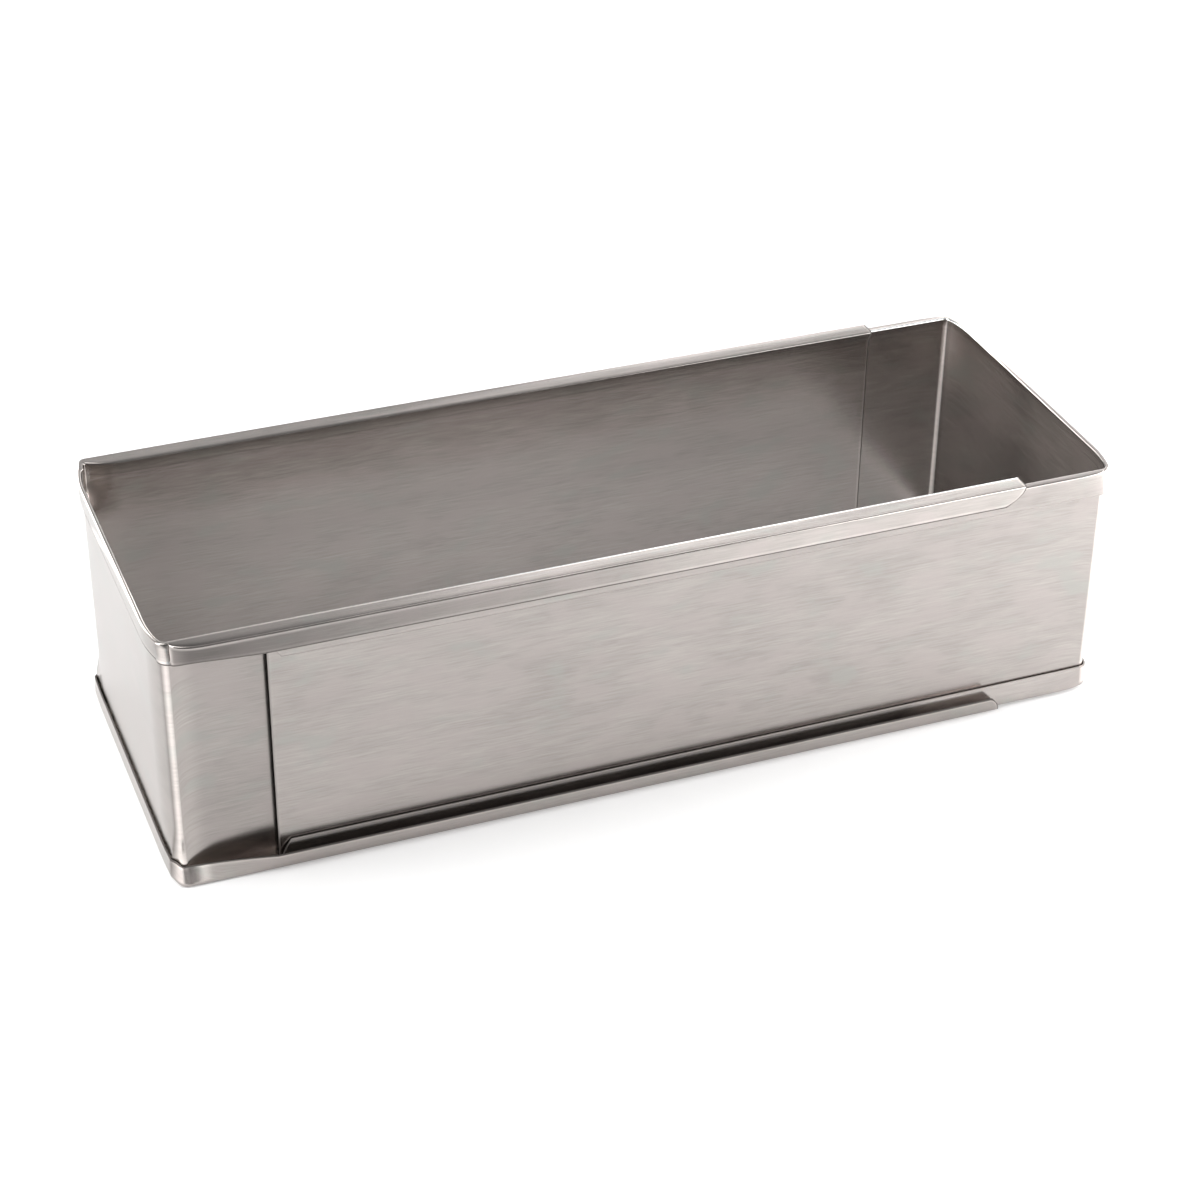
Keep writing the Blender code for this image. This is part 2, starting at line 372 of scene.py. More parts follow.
class Zone(Enum):
    """A part of the section, from the top lip's free edge to the bottom lip's."""

    TOP_LIP = 0
    TOP_OUTER_FOLD = 1
    TOP_INNER_FOLD = 2
    WALL = 3
    BOTTOM_INNER_FOLD = 4
    BOTTOM_OUTER_FOLD = 5
    BOTTOM_LIP = 6


@dataclass(frozen=True)
class Spot:
    """A point of the section: where it is, and what part of the sheet it lies on.

    Attributes:
        out: Distance outward from the inside of the wall.
        up: Height above the half's underside.
        cut: How far the sheet is cut back here at the end of a leg.
        across: Distance across the flat sheet from the top lip's free edge.
        edge: Distance to the nearest free edge.
        fold: Distance below the top fold.
        zone: The part of the section.
        share: Place within the zone, 0 to 1.
        lee: True on the face that the lips hide.
    """

    out: float
    up: float
    cut: float
    across: float
    edge: float
    fold: float
    zone: Zone
    share: float
    lee: bool


def hump(value: float, centre: float, reach: float) -> float:
    """Return 1 at the centre, falling smoothly to 0 at the given reach from it."""
    return smooth(1 - abs(value - centre) / reach)


def smooth(share: float) -> float:
    """Return a rise from 0 to 1 that starts and ends level."""
    share = min(max(share, 0.0), 1.0)
    return share * share * (3 - 2 * share)


def blend(first: float, second: float, share: float) -> float:
    """Return the value between first, at 0, and second, at 1."""
    return first + (second - first) * share


@dataclass(frozen=True)
class Hem:
    """One folded edge of a half.

    Attributes:
        lip: Height of the lip.
        corner_free: Depth of the lip's free edge at a corner.
        leg_free: The same along the leg, past the corner.
        relief: How far the free edge is cut back at the leg's end.
        fold: What the fold does at a corner.
        end_flare: How far the fold stands out beside a corner, on the end wall.
        setback: How far the whole hem is cut back at the leg's end.
    """

    lip: float
    corner_free: float
    leg_free: float
    relief: float
    fold: Fold
    end_flare: float = 0.0
    setback: float = 0.0


@dataclass(frozen=True)
class Edge:
    """One folded edge at one place: depths outward from the inside of the wall.

    Attributes:
        fold: Depth of the outer fold.
        free: Depth of the lip's free edge.
        bulge: How far the wall comes out to meet the lip.
        lip: Height of the lip.
    """

    fold: float
    free: float
    bulge: float
    lip: float


@dataclass(frozen=True)
class Station:
    """One place on the plan of the wall, where a ring of the section is set.

    Attributes:
        point: The inside of the wall.
        outward: Direction away from the inside of the U.
        top: The top edge there.
        bottom: The bottom edge there.
        to_end: Distance back from the leg's end, or FAR.
        bend: 0 to 1 round a corner's bend, or NO_BEND.
    """

    point: Vector
    outward: Vector
    top: Edge
    bottom: Edge
    to_end: float = FAR
    bend: float = NO_BEND


@dataclass(frozen=True)
class PaintedLight:
    """Painted light and shade over the sheet, as factors of its colour.

    A gain, loss, corner or fill is a share that is added or taken away; the others multiply, and
    1 leaves the tone as it is. The fields are in groups by the place that they work on.
    """

    bend_gain: float = 0.95
    bend_centre: float = 0.35
    bend_reach: float = 0.50
    bend_loss: float = 0.30
    bend_loss_centre: float = 0.95
    bend_loss_reach: float = 0.18
    rim_gain: float = 0.9
    lip_low: float = 1.0
    lip_slope: float = 0.0
    lip_high: float = 1.0
    lip_corner: float = 0.0
    lip_corner_run: float = 0.012
    lip_fill: float = 0.0
    lip_fill_centre: float = 0.0051
    lip_fill_reach: float = 0.0016
    outer_fold: float = 0.0
    channel: float = 1.0
    foot: float = 1.0
    foot_height: float = 0.012
    hem_face: float = 1.0
    hem_start: float = 0.065
    hem_run: float = 0.010
    hem_fill: float = 0.0
    hem_fill_centre: float = 0.0090
    hem_fill_reach: float = 0.0045
    web_low: float = 1.0
    web_slope: float = 0.0
    web_high: float = 1.0
    outside: float = 1.0
    outside_start: float = 0.008
    outside_run: float = 0.006
    inside_corner: float = 0.0
    inside_corner_run: float = 0.030
    inside_low: float = 1.0
    inside_high: float = 1.0
    inside_start: float = 0.050
    inside_end: float = 0.077
    inside_rim: float = 1.0
    rim_height: float = 0.0845
    rim_run: float = 0.001

    def factor(self, spot: Spot, bend: float, along: float, outer_y: float) -> float:
        """Work out the factor at one place.

        Args:
            spot: The point of the section.
            bend: 0 to 1 round a corner's bend, or NO_BEND elsewhere.
            along: Distance from the half's closed end.
            outer_y: Positive on the front leg as drawn, and negative on the back leg.

        Returns:
            The factor.
        """
        factor = 1.0
        # Painted highlight round the corner bend, and painted shade near the end of the bend.
        if bend >= 0 and spot.zone in (Zone.TOP_LIP, Zone.WALL, Zone.BOTTOM_LIP):
            factor += self.bend_gain * hump(bend, self.bend_centre, self.bend_reach)
            factor -= self.bend_loss * hump(bend, self.bend_loss_centre, self.bend_loss_reach)
        # Painted highlight on the inside of the top fold.
        if spot.zone is Zone.TOP_INNER_FOLD and not spot.lee and outer_y > 0:
            factor *= 1 + self.rim_gain * math.sin(math.pi * spot.share)
        # Painted light and shade on the web, darker near the closed end and lighter along the leg.
        top_folds = (Zone.TOP_OUTER_FOLD, Zone.TOP_INNER_FOLD)
        if spot.zone in top_folds and not spot.lee and outer_y > 0:
            on_web = spot.share if spot.zone is Zone.TOP_OUTER_FOLD else 1 - spot.share
            web = min(self.web_low + self.web_slope * along, self.web_high)
            factor *= blend(1.0, web, on_web)
        # Painted light and shade on the top lip: darker near the closed end, lighter along the leg
        # and at the corner.
        if spot.zone is Zone.TOP_LIP and not spot.lee:
            lip = min(self.lip_low + self.lip_slope * along, self.lip_high)
            factor *= lip + self.lip_corner * smooth(1 - along / self.lip_corner_run)
            factor *= 1 + self.lip_fill * hump(along, self.lip_fill_centre, self.lip_fill_reach)
        # Painted highlight on the top outer fold.
        if spot.zone is Zone.TOP_OUTER_FOLD and not spot.lee:
            factor *= 1 + self.outer_fold * math.sin(math.pi * spot.share)
        # Painted light and shade on the bottom lip.
        if spot.zone is Zone.BOTTOM_LIP and not spot.lee:
            factor *= blend(1.0, self.hem_face, smooth((along - self.hem_start) / self.hem_run))
            factor *= 1 + self.hem_fill * hump(along, self.hem_fill_centre, self.hem_fill_reach)
        # Painted light inside the bottom channel.
        if spot.lee and spot.zone in (Zone.BOTTOM_LIP, Zone.BOTTOM_INNER_FOLD,
                                      Zone.BOTTOM_OUTER_FOLD):
            factor *= self.channel
        # Painted light and shade on the wall's outer face, by its foot and along the leg.
        if spot.zone is Zone.WALL and spot.lee:
            factor *= blend(self.foot, 1.0, smooth(spot.up / self.foot_height))
            past = smooth((along - self.outside_start) / self.outside_run)
            factor *= blend(1.0, self.outside, past)
        # Painted light and shade up the wall's inside, with painted light near the corner.
        if spot.zone is Zone.WALL and not spot.lee:
            rise = smooth((spot.up - self.inside_start) / (self.inside_end - self.inside_start))
            inside = blend(self.inside_low, self.inside_high, rise)
            rim = smooth((spot.up - self.rim_height) / self.rim_run)
            factor *= blend(inside, self.inside_rim, rim)
            factor *= 1 + self.inside_corner * smooth(1 - along / self.inside_corner_run)
        return factor


@dataclass
class FoldedHalf:
    """One U of folded sheet, drawn with its closed end at -X and its legs running to +X.

    Depths are outward from the inside of a leg's wall, and drops are down from the top fold. The
    back leg mirrors the front one, but for its top hem. A turned half has its closed end at +X.
    """

    name: str
    body: str
    finish: BrushedSteel
    end_x: float
    leg_x: float
    fold_y: float
    leg_depth: float
    base_z: float
    height: float
    top: Hem
    back_top: Hem
    bottom: Hem
    wall_setback: float = 0.0
    turned: bool = False
    seed: float = 0.0
    sheet: float = 0.0005
    pinch_gap: float = 0.0003
    end_depth: float = 0.0018
    end_lean: float = -0.0003
    corner_radius: float = 0.0020
    closing_run: float = 0.011
    bulge_run: float = 0.012
    bulge_rise: float = 0.012
    opening_run: float = 0.0285
    ease_run: float = 0.0134
    ease_depth: float = 0.0018
    fold_radius: float = 0.0005
    fold_corner: float = 6.0
    lip_start: float = 0.2
    high_rows: tuple[float, ...] = (0.0035, 0.0045, 0.0052, 0.0060)
    fold_steps: int = 5
    corner_steps: int = 16
    ease_steps: int = 8
    corner_leg_steps: int = 18
    closing_steps: int = 4
    leg_steps: int = 26
    relief_steps: int = 6
    wall_steps: int = 14
    lip_steps: int = 8
    bulge_steps: int = 7
    relief_runs: float = 2.0
    # Painted light and shade over the sheet.
    painted_light: PaintedLight = field(default_factory=PaintedLight)
    crease_drop: float = 0.0042

    # ---- plan ----

    def end_slope(self, share: float) -> float:
        """Return the end wall's slope on its eased stretch: 1 at the bend, 0 where it is flat."""
        return math.atan(2 * self.ease_depth / self.ease_run * share)

    def bend_centre(self) -> Vector:
        """Return the centre of the front corner's bend."""
        reach = self.corner_radius * math.cos(self.end_slope(1))
        return Vector((self.end_x + self.end_depth + self.ease_depth + reach,
                       -self.fold_y + self.leg_depth + self.corner_radius))

    def touching(self, free: float) -> float:
        """Return how far a wall stands out where it touches a lip whose free edge is at free."""
        return max(free - 2 * self.sheet - self.pinch_gap, 0.0)

    def leg_edge(self, hem: Hem, along: float) -> Edge:
        """Work out a folded edge of the leg.

        Args:
            hem: The folded edge.
            along: Distance along the leg from the bend.

        Returns:
            The edge at that place.
        """
        opened = min(along / self.opening_run, 1.0)
        free = blend(hem.corner_free, hem.leg_free, opened)
        if hem.fold is Fold.STANDING:
            left = max(0.0, 1 - along / self.bulge_run)
            bulge = self.touching(hem.corner_free) * left ** 2
            return Edge(self.leg_depth, free, bulge, hem.lip)
        left = max(0.0, 1 - along / self.closing_run)
        fold = blend(self.end_depth, self.leg_depth, math.sqrt(1 - left ** 2))
        return Edge(fold, free, 0.0, hem.lip)

    def bend_edge(self, hem: Hem, share: float) -> Edge:
        """Work out a folded edge round the bend.

        Args:
            hem: The folded edge.
            share: 0 at the leg and 1 at the end wall.

        Returns:
            The edge at that place. A standing fold keeps near the lines of the folds by it.
        """
        start = self.leg_edge(hem, 0.0)
        if hem.fold is Fold.DRAWN_IN:
            free = blend(start.free, self.end_depth + self.end_lean, share)
            return Edge(self.end_depth, free, 0.0, hem.lip)
        last = math.pi / 2 - self.end_slope(1)
        angle = last * share
        to_leg = (self.corner_radius + self.leg_depth) / max(math.cos(angle), LEAST_COSINE)
        to_end = self.corner_radius + self.end_depth + hem.end_flare
        to_end /= max(math.cos(last - angle), LEAST_COSINE)
        mixed = to_leg ** -self.fold_corner + to_end ** -self.fold_corner
        fold = mixed ** (-1 / self.fold_corner) - self.corner_radius
        free = fold - blend(start.fold - start.free, -self.end_lean, share)
        return Edge(fold, free, self.touching(free), hem.lip)

    def end_edge(self, hem: Hem, share: float) -> Edge:
        """Work out a folded edge of the end wall.

        Args:
            hem: The folded edge.
            share: 1 at the bend and 0 where the end runs flat.

        Returns:
            The edge at that place.
        """
        fold = self.end_depth + hem.end_flare * share ** 2
        free = fold + self.end_lean
        return Edge(fold, free, self.touching(free) * share, hem.lip)

    def leg_station(self, top: Hem, along: float, to_end: float = FAR) -> Station:
        """Set a station on the front leg.

        Args:
            top: The leg's top hem.
            along: Distance along the leg from the bend.
            to_end: Distance back from the leg's end, or FAR past its cut corners.

        Returns:
            The station.
        """
        point = Vector((self.bend_centre().x + along, -self.fold_y + self.leg_depth))
        return Station(point, Vector((0.0, -1.0)), self.leg_edge(top, along),
                       self.leg_edge(self.bottom, along), to_end)

    def bend_station(self, top: Hem, share: float) -> Station:
        """Set a station on the front corner's bend.

        Args:
            top: The leg's top hem.
            share: 0 at the leg and 1 at the end wall.

        Returns:
            The station.
        """
        angle = (math.pi / 2 - self.end_slope(1)) * share
        outward = Vector((-math.sin(angle), -math.cos(angle)))
        point = self.bend_centre() + outward * self.corner_radius
        return Station(point, outward, self.bend_edge(top, share),
                       self.bend_edge(self.bottom, share), bend=share)

    def end_station(self, top: Hem, share: float) -> Station:
        """Set a station on the eased stretch of the end wall.

        Args:
            top: The leg's top hem.
            share: 1 at the bend and 0 where the end runs flat.

        Returns:
            The station.
        """
        slope = self.end_slope(share)
        edge_y = self.bend_centre().y - self.corner_radius * math.sin(self.end_slope(1))
        point = Vector((self.end_x + self.end_depth + self.ease_depth * share ** 2,
                        edge_y + self.ease_run * (1 - share)))
        return Station(point, Vector((-math.cos(slope), -math.sin(slope))),
                       self.end_edge(top, share), self.end_edge(self.bottom, share))

    def relief_run(self) -> float:
        """Return the length of leg over which the rings are sheared back to its cut ends."""
        return self.relief_runs * max(self.top.relief, self.bottom.relief)

    def front_stations(self, top: Hem) -> list[Station]:
        """Set the stations of a leg and its corner.

        Args:
            top: The leg's top hem.

        Returns:
            The stations, from the front leg's end round to the flat of the end wall.
        """
        length = self.leg_x - self.bend_centre().x
        run = self.relief_run()
        backs = [run * step / self.relief_steps for step in range(self.relief_steps + 1)]
        stations = [self.leg_station(top, length - back, back) for back in backs]
        middle = length - run - self.opening_run
        for step in range(1, self.leg_steps + 1):
            along = self.opening_run + middle * (1 - step / self.leg_steps)
            stations.append(self.leg_station(top, along))
        for step in range(1, self.closing_steps + 1):
            along = blend(self.opening_run, self.bulge_run, step / self.closing_steps)
            stations.append(self.leg_station(top, along))
        for step in range(self.corner_leg_steps - 1, -1, -1):
            along = self.bulge_run * (step / self.corner_leg_steps) ** 2
            stations.append(self.leg_station(top, along))
        for step in range(1, self.corner_steps + 1):
            stations.append(self.bend_station(top, step / self.corner_steps))
        for step in range(1, self.ease_steps + 1):
            stations.append(self.end_station(top, 1 - step / self.ease_steps))
        return stations

    def stations(self) -> list[Station]:
        """Return all stations, from the front leg's end round to the back leg's end."""
        flip = Vector((1.0, -1.0))
        back = [replace(station, point=station.point * flip, outward=station.outward * flip)
                for station in reversed(self.front_stations(self.back_top))]
        return self.front_stations(self.top) + back

    # ---- section ----

    def lip_shares(self) -> list[float]:
        """Return the places of the points along a lip, from near its fold to its free edge."""
        return [blend(self.lip_start, 1.0, step / self.lip_steps)
                for step in range(self.lip_steps + 1)]

    def lip_points(self, fold: Vector, lip: float, lean: float, up: int) -> list[Vector]:
        """Work out the points along the middle of a lip, from near its fold to its free edge.

        Args:
            fold: The middle of the sheet at the fold.
            lip: Length of the lip.
            lean: How far the free edge stands out past the fold.
            up: 1 for a lip that rises from its fold, and -1 for one that hangs.

        Returns:
            The points.
        """
        rise = up * math.sqrt(lip ** 2 - lean ** 2)
        return [fold + Vector((lean, rise)) * share for share in self.lip_shares()]

    def wall_points(self, station: Station) -> list[Vector]:
        """Work out the points along the middle of the wall.

        Args:
            station: The station that the section is at.

        Returns:
            The points, from the top fold to the bottom one.
        """
        mid = self.sheet / 2
        points = [Vector((mid + station.top.bulge, self.height - mid))]
        high = self.height - self.top.lip
        for drop in self.high_rows:
            points.append(Vector((mid + station.top.bulge, self.height - drop)))
        for step in range(self.bulge_steps + 1):
            share = step / self.bulge_steps
            points.append(Vector((mid + station.top.bulge * smooth(1 - share),
                                  high - self.bulge_rise * share)))
        low = self.bottom.lip + self.bulge_rise
        high -= self.bulge_rise
        for step in range(1, self.wall_steps):
            points.append(Vector((mid, blend(high, low, step / self.wall_steps))))
        for step in range(self.bulge_steps + 1):
            share = step / self.bulge_steps
            points.append(Vector((mid + station.bottom.bulge * smooth(share),
                                  low - self.bulge_rise * share)))
        points.append(Vector((mid + station.bottom.bulge, mid)))
        return points

    def rounded(self, points: list[Vector]) -> list[Vector]:
        """Replace each inner corner of an open outline by an arc tangent to its sides.

        Args:
            points: The outline.

        Returns:
            The rounded outline.
        """
        made = [points[0]]
        for before, corner, after in zip(points, points[1:], points[2:]):
            back = (before - corner).normalized()
            ahead = (after - corner).normalized()
            half = back.angle(ahead) / 2
            centre = corner + (back + ahead).normalized() * (self.fold_radius / math.sin(half))
            start = corner + back * (self.fold_radius / math.tan(half)) - centre
            end = corner + ahead * (self.fold_radius / math.tan(half)) - centre
            sweep = math.pi - 2 * half
            for step in range(self.fold_steps + 1):
                share = step / self.fold_steps
                arm = start * math.sin((1 - share) * sweep) + end * math.sin(share * sweep)
                made.append(centre + arm / math.sin(sweep))
        made.append(points[-1])
        return made

    def both_faces(self, points: list[Vector]) -> list[Vector]:
        """Thicken a line to the outline of the sheet.

        Args:
            points: The line that the middle of the sheet runs along.

        Returns:
            The closed outline, one face of the sheet out and the other one back.
        """
        left, right = [], []
        for index, point in enumerate(points):
            normals = []
            for start, end in ((index - 1, index), (index, index + 1)):
                if start >= 0 and end < len(points):
                    run = (points[end] - points[start]).normalized()
                    normals.append(Vector((-run.y, run.x)))
            mitre = sum(normals, Vector((0.0, 0.0))).normalized()
            reach = self.sheet / 2 / mitre.dot(normals[0])
            left.append(point + mitre * reach)
            right.append(point - mitre * reach)
        return left + right[::-1]

    def section(self, station: Station) -> list[Spot]:
        """Work out the sheet's outline in the plane of a station.

        Args:
            station: The station.

        Returns:
            The points of the outline, in order round it.
        """
        mid = self.sheet / 2
        top, bottom = station.top, station.bottom
        top_fold = Vector((top.fold - mid, self.height - mid))
        bottom_fold = Vector((bottom.fold - mid, mid))
        top_lip = self.lip_points(top_fold, top.lip - mid, top.free - top.fold, -1)
        bottom_lip = self.lip_points(bottom_fold, bottom.lip - mid, bottom.free - bottom.fold, 1)
        wall = self.wall_points(station)
        above = self.rounded([top_lip[0], top_fold, wall[0], wall[1]])
        below = self.rounded([wall[-2], wall[-1], bottom_fold, bottom_lip[0]])
        middle = top_lip[:0:-1] + above + wall[2:-2] + below + bottom_lip[1:]
        shares = self.lip_shares()
        reliefs = [1 - math.cos(share * math.pi / 2) for share in shares]
        arc = self.fold_steps + 1
        turns = [step / self.fold_steps for step in range(arc)]
        cuts = [self.top.relief * share for share in reliefs[::-1]] + [0.0] * (2 * arc)
        cuts += [self.wall_setback] * (len(wall) - 2 + arc)
        cuts += [self.bottom.setback] * arc
        cuts += [self.bottom.setback + self.bottom.relief * share for share in reliefs]
        zones = [(Zone.TOP_LIP, share) for share in shares[::-1]]
        zones += [(Zone.TOP_OUTER_FOLD, turn) for turn in turns]
        zones += [(Zone.TOP_INNER_FOLD, turn) for turn in turns]
        zones += [(Zone.WALL, 0.0)] * (len(wall) - 2)
        zones += [(Zone.BOTTOM_INNER_FOLD, turn) for turn in turns]
        zones += [(Zone.BOTTOM_OUTER_FOLD, turn) for turn in turns]
        zones += [(Zone.BOTTOM_LIP, share) for share in shares]
        across = [0.0]
        for before, after in zip(middle, middle[1:]):
            across.append(across[-1] + (after - before).length)
        outline = self.both_faces(middle)
        inner_fold = across[self.lip_steps + arc + self.fold_steps // 2]
        spots = []
        for index, point in enumerate(outline):
            lee = index < len(middle)
            number = index if lee else len(outline) - 1 - index
            way = across[number]
            edge = min(way, across[-1] - way, max(station.to_end, 0.0))
            zone, share = zones[number]
            spots.append(Spot(point.x, point.y, cuts[number], way, edge, way - inner_fold,
                              zone, share, lee))
        return spots

    # ---- mesh ----

    def ring(self, mesh: bmesh.types.BMesh, station: Station, along: float,
             traits: dict[bmesh.types.BMVert, Traits]) -> Ring:
        """Add the section's points at a station to the mesh.

        Args:
            mesh: The mesh.
            station: The station.
            along: Distance along the strip.
            traits: Filled with what each point carries for the finish.

        Returns:
            The ring's points, in order.
        """
        made = []
        for spot in self.section(station):
            point = station.point + station.outward * spot.out
            back = spot.cut * max(0.0, 1 - station.to_end / self.relief_run())
            where = Vector((point.x - back, point.y, self.base_z + spot.up))
            # The tone here is painted light and shade.
            tone = self.painted_light.factor(spot, station.bend, where.x - self.end_x, -where.y)
            front = where.y < 0 and not spot.lee
            # The painted highlight on the top fold is only drawn on the inside of the front leg.
            fold = spot.fold if front else max(spot.fold, self.crease_drop / 2)
            if self.turned:
                where.x, where.y = -where.x, -where.y
            vertex = mesh.verts.new(where)
            traits[vertex] = (along, spot.across, tone, spot.edge, fold)
            made.append(vertex)
        return made

    def skin(self, mesh: bmesh.types.BMesh,
             rings: list[Ring]) -> tuple[list[bmesh.types.BMFace], ...]:
        """Join the rings and close the leg ends.

        Args:
            mesh: The mesh.
            rings: The rings, from one leg's end to the other's.

        Returns:
            The faces of the rolled surface, and those of the cut edges.
        """
        count = len(rings[0])
        half = count // 2
        rolled, cut = [], []
        for low, high in zip(rings, rings[1:]):
            for index in range(count):
                after = (index + 1) % count
                face = mesh.faces.new((low[index], low[after], high[after], high[index]))
                (cut if after in (0, half) else rolled).append(face)
        for end in (rings[0], rings[-1]):
            for index in range(half - 1):
                cut.append(mesh.faces.new((end[index], end[index + 1],
                                           end[count - 2 - index], end[count - 1 - index])))
        return rolled, cut

    def build(self) -> bpy.types.Object:
        """Sweep the section along the U, close the leg ends and dress the sheet.

        Returns:
            The finished object.
        """
        mesh = bmesh.new()
        rings: list[Ring] = []
        traits: dict[bmesh.types.BMVert, Traits] = {}
        along = 0.0
        before = None
        for station in self.stations():
            if before is not None:
                along += (station.point - before).length
            before = station.point
            rings.append(self.ring(mesh, station, along, traits))
        rolled, cut = self.skin(mesh, rings)
        grain = mesh.loops.layers.uv.new(SHEET_MAP)
        layers = [mesh.loops.layers.float.new(name)
                  for name in (PAINTED_LIGHT_TONE, EDGE_DISTANCE, FOLD_DISTANCE)]
        for group, is_cut in ((rolled, False), (cut, True)):
            for face in group:
                for loop in face.loops:
                    run, across, tone, edge, fold = traits[loop.vert]
                    loop[grain].uv = (run, across)
                    for layer, value in zip(layers, (tone, 0.0 if is_cut else edge, fold)):
                        loop[layer] = value
        bmesh.ops.recalc_face_normals(mesh, faces=mesh.faces)
        data = bpy.data.meshes.new(self.name)
        mesh.to_mesh(data)
        mesh.free()
        data.shade_smooth()
        data.set_sharp_from_angle(angle=math.radians(SHARP_ANGLE))
        piece = bpy.data.objects.new(self.name, data)
        bpy.context.collection.objects.link(piece)
        data.materials.append(self.finish.dress(self.name + "_steel", self.seed,
                                                self.crease_drop))
        return piece

    def place(self, node: str) -> bpy.types.Object:
        """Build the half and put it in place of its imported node.

        Args:
            node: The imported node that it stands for.

        Returns:
            The finished object.
        """
        piece = self.build()
        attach(piece, self.body)
        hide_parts(node)
        return piece


def rail_half() -> FoldedHalf:
    """Return the half whose open hems are the rails."""
    depth = 0.0067
    top = Hem(lip=0.0070, corner_free=depth - 0.0025, leg_free=depth + 0.0002, relief=0.0070,
              fold=Fold.DRAWN_IN)
    bottom = Hem(lip=0.0070, corner_free=depth - 0.0028, leg_free=depth + 0.0021,
                 relief=0.0036, fold=Fold.STANDING, end_flare=0.0015, setback=0.0024)
    return FoldedHalf(
        name="rail_half_sheet", body="rail", finish=BrushedSteel(), end_x=-0.166, leg_x=0.130,
        fold_y=0.063, leg_depth=depth, base_z=0.0, height=0.090, top=top,
        back_top=replace(top, fold=Fold.STANDING), bottom=bottom, wall_setback=0.0010, seed=1.0,
        # Painted light and shade on this half's lips, webs, channel and walls.
        painted_light=PaintedLight(lip_low=0.33, lip_slope=4.2, lip_high=1.15, lip_corner=0.6, lip_fill=1.5,
                      outer_fold=0.4, channel=1.9, foot=1.6, hem_fill=0.9,
                      web_low=0.6, web_slope=7.0, web_high=1.5, outside=0.86,
                      inside_corner=0.3, inside_low=0.88, inside_high=1.36, inside_rim=1.15))


def sliding_half(rail: FoldedHalf) -> FoldedHalf:
    """Describe the half that goes over the rail half.

    Args:
        rail: The rail half, whose open hems take this half's pinched ones.

    Returns:
        The sliding half.
    """
    depth, pinched = 0.0030, 0.0013
    side_gap, lift, end_gap = 0.0008, 0.0008, 0.0014
    top = Hem(lip=0.0088, corner_free=depth, leg_free=depth, relief=0.0040, fold=Fold.DRAWN_IN)
    bottom = Hem(lip=0.0081, corner_free=pinched, leg_free=pinched, relief=0.0040,
                 fold=Fold.DRAWN_IN)
    return FoldedHalf(
        name="sliding_half_sheet", body="slider",
        # This half's cut edges and painted edge shade are lighter, and its painted edge highlight
        # is weaker.
        finish=BrushedSteel(cut_edge_and_shade=(0.36, 0.332, 0.318, 1.0), edge_highlight_gain=0.04), end_x=-0.166,
        leg_x=-rail.bend_centre().x - rail.opening_run - end_gap,
        fold_y=rail.fold_y - side_gap, leg_depth=depth, base_z=lift, height=0.0880,
        top=top, back_top=top, bottom=bottom,
        turned=True, seed=7.3,
        # Painted light and shade on this half's inside wall and bottom lip.
        painted_light=PaintedLight(inside_low=0.86, inside_high=1.25, inside_rim=1.0, hem_face=0.5))


# ======== Studio ========


@dataclass(frozen=True)
class Panel:
    """A soft light: a plain rectangle that shines towards a point. Metres and watts."""

    name: str
    position: tuple[float, float, float]
    target: tuple[float, float, float]
    size: tuple[float, float]
    power: float
    colour: tuple[float, float, float] = (1.0, 1.0, 1.0)

    def build(self) -> bpy.types.Object:
        """Add the light to the scene."""
        data = bpy.data.lights.new(self.name, "AREA")
        data.shape = "RECTANGLE"
        data.size, data.size_y = self.size
        data.energy = self.power
        data.color = self.colour
        lamp = bpy.data.objects.new(self.name, data)
        lamp.location = self.position
        aim = Vector(self.target) - Vector(self.position)
        lamp.rotation_euler = aim.to_track_quat("-Z", "Y").to_euler()
        bpy.context.collection.objects.link(lamp)
        return lamp


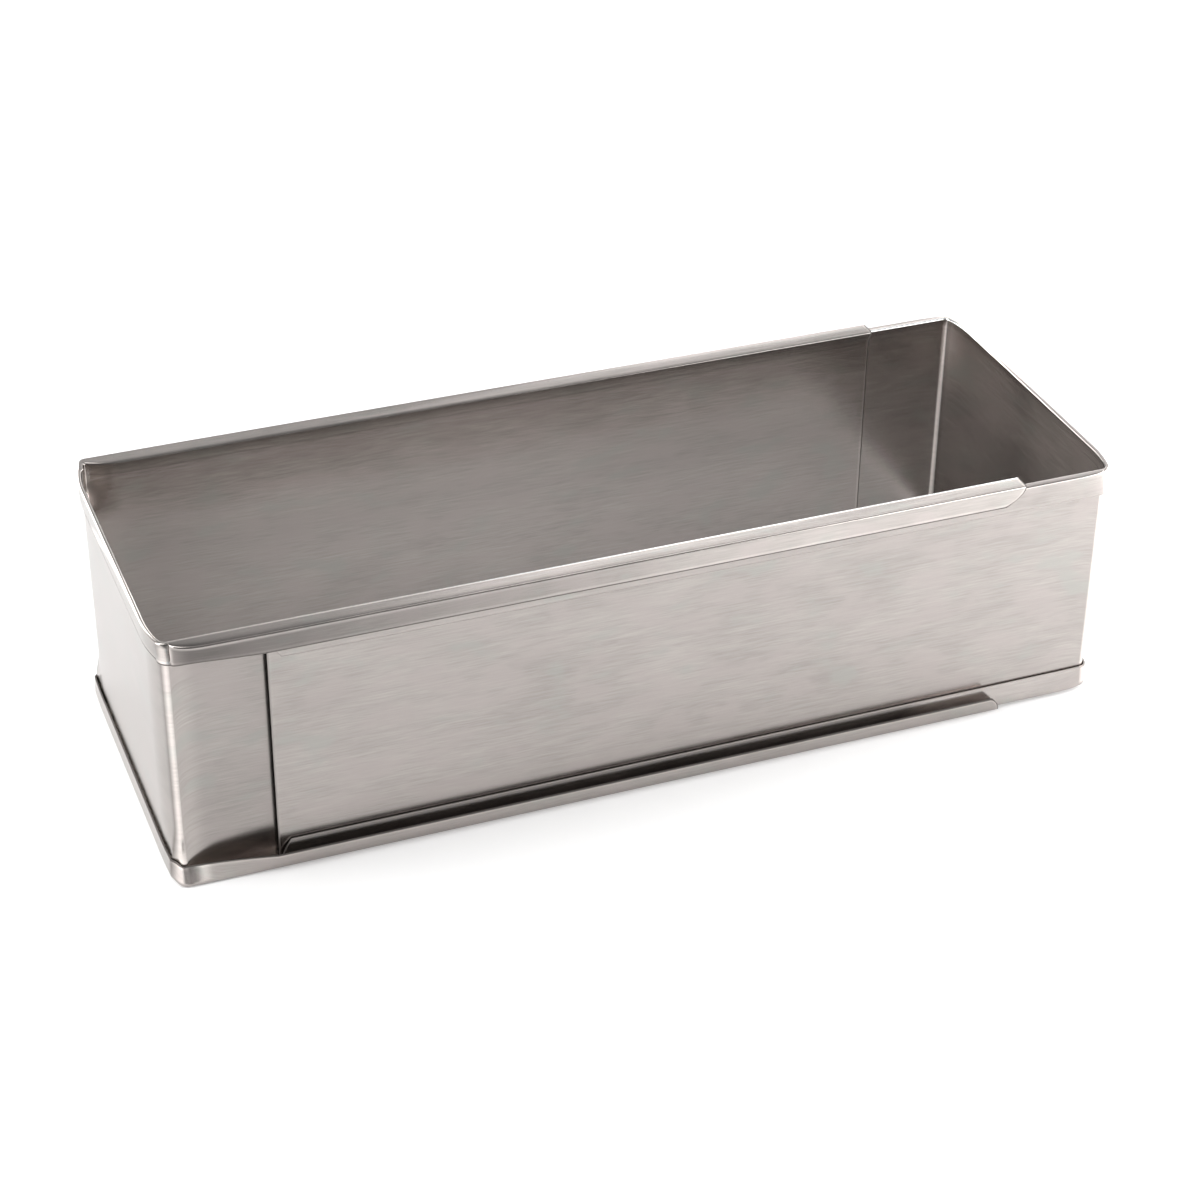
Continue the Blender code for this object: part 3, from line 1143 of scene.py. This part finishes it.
@dataclass(frozen=True)
class Studio:
    """A pale floor, soft lights and the camera."""

    azimuth: float = -21.290
    elevation: float = 32.532
    roll: float = 0.632
    lens: float = 84.52
    eye: tuple[float, float, float] = (-0.29694, -0.76818, 0.56106)
    floor_size: float = 6.0
    floor_tone: float = 0.92
    floor_glow: float = 0.12
    floor_roughness: float = 0.9
    floor_gap: float = 0.0002
    sky: float = 0.16
    panels: tuple[Panel, ...] = field(default_factory=tuple)

    def camera(self) -> bpy.types.Object:
        """Add the camera and make it the scene's own."""
        data = bpy.data.cameras.new("studio_camera")
        data.lens = self.lens
        data.sensor_width = 36.0
        data.clip_start = 0.01
        camera = bpy.data.objects.new("studio_camera", data)
        angles = (self.azimuth, self.elevation, self.roll)
        turn, tilt, roll = (math.radians(angle) for angle in angles)
        back = Vector((math.sin(turn) * math.cos(tilt), -math.cos(turn) * math.cos(tilt),
                       math.sin(tilt)))
        right = (-back).cross(Vector((0.0, 0.0, 1.0))).normalized()
        up = right.cross(-back)
        level = right * math.cos(roll) + up * math.sin(roll)
        rise = up * math.cos(roll) - right * math.sin(roll)
        rotation = Matrix((level, rise, back)).transposed().to_4x4()
        camera.matrix_world = Matrix.Translation(self.eye) @ rotation
        bpy.context.collection.objects.link(camera)
        bpy.context.scene.camera = camera
        return camera

    def world(self) -> None:
        """Set an even pale sky."""
        world = bpy.data.worlds.new("studio_sky")
        world.use_nodes = True
        shade = world.node_tree.nodes["Background"]
        shade.inputs["Color"].default_value = (1.0, 1.0, 1.0, 1.0)
        shade.inputs["Strength"].default_value = self.sky
        bpy.context.scene.world = world

    def floor(self) -> bpy.types.Object:
        """Add the floor, a plain matt sheet that isn't part of the object and shows from above."""
        mesh = bmesh.new()
        bmesh.ops.create_grid(mesh, x_segments=1, y_segments=1, size=self.floor_size / 2)
        data = bpy.data.meshes.new("studio_floor")
        mesh.to_mesh(data)
        mesh.free()
        floor = bpy.data.objects.new("studio_floor", data)
        bpy.context.collection.objects.link(floor)
        graph = Graph("pale_floor")
        tone = self.floor_tone
        for socket, value in (("Base Color", (tone, tone, tone, 1.0)),
                              ("Roughness", self.floor_roughness), ("Specular IOR Level", 0.0),
                              ("Emission Color", (1.0, 1.0, 1.0, 1.0)),
                              ("Emission Strength", self.floor_glow)):
            graph.feed(graph.shader.inputs[socket], value)
        below = graph.node("ShaderNodeNewGeometry", {}, {}).outputs["Backfacing"]
        clear = graph.node("ShaderNodeBsdfTransparent", {}, {}).outputs["BSDF"]
        paint = graph.shader.outputs["BSDF"]
        one_sided = graph.node("ShaderNodeMixShader", {}, {0: below, 1: paint, 2: clear})
        graph.links.new(one_sided.outputs["Shader"],
                        graph.nodes["Material Output"].inputs["Surface"])
        data.materials.append(graph.material)
        floor.location.z = -self.floor_gap
        return floor

    def build(self) -> None:
        """Build the whole studio."""
        self.camera()
        self.world()
        self.floor()
        for panel in self.panels:
            panel.build()
        bpy.context.scene.view_settings.view_transform = "Standard"


def main() -> None:
    """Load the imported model, dress it and set the studio round it."""
    logging.basicConfig(level=logging.INFO, format="%(name)s: %(message)s")
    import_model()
    rail = rail_half()
    for half, node in ((rail, "rail_half"), (sliding_half(rail), "sliding_half")):
        piece = half.place(node)
        LOG.info("%s: %d faces", piece.name, len(piece.data.polygons))
    Studio(panels=(
        Panel("over_left", (-0.9, 0.0, 1.3), (-0.2, 0.0, 0.0), (0.8, 1.2), 10.2),
        Panel("over_right", (0.9, 0.0, 1.3), (0.2, 0.0, 0.0), (0.8, 1.2), 3.0),
        Panel("overhead", (0.0, 0.1, 1.6), (0.0, 0.0, 0.0), (1.6, 1.6), 2.2),
        Panel("left", (-1.3, 0.0, 0.45), (-0.2, 0.0, 0.0), (1.0, 0.8), 10.5),
        Panel("left_near", (-0.45, 0.50, 0.18), (-0.16, 0.0, 0.04), (0.4, 0.3), 0.95),
        Panel("back_left", (-0.6, 1.3, 0.8), (0.0, 0.0, 0.0), (0.7, 0.7), 5.2),
        Panel("back_right", (0.98, 0.95, 0.85), (0.0, 0.0, 0.0), (0.7, 0.85), 2.0),
        Panel("back_low_right", (0.75, 1.2, 0.45), (0.0, 0.0, 0.0), (0.6, 0.4), 1.2),
        Panel("back_right_thin", (0.52, 1.25, 0.90), (0.0, 0.0, 0.0), (0.35, 0.6), 0.68),
        Panel("back_mid", (0.12, 1.36, 0.90), (0.0, 0.0, 0.0), (0.48, 0.6), 0.55),
        Panel("back_low", (0.30, 1.40, 0.33), (0.0, 0.0, 0.09), (0.9, 0.35), 1.0),
        Panel("front_low", (0.05, -1.1, 0.30), (-0.10, -0.06, 0.04), (0.7, 0.30), 0.3),
        Panel("front_right", (0.62, -0.28, 0.18), (0.15, -0.06, 0.04), (0.4, 0.3), 3.2),
        Panel("front_right_low", (0.45, -0.50, 0.18), (0.12, -0.06, 0.04), (0.4, 0.3), 1.4),
        Panel("right_near", (0.65, 0.1, 0.25), (0.17, 0.0, 0.04), (0.4, 0.4), 2.8),
    )).build()


if __name__ == "__main__":
    main()
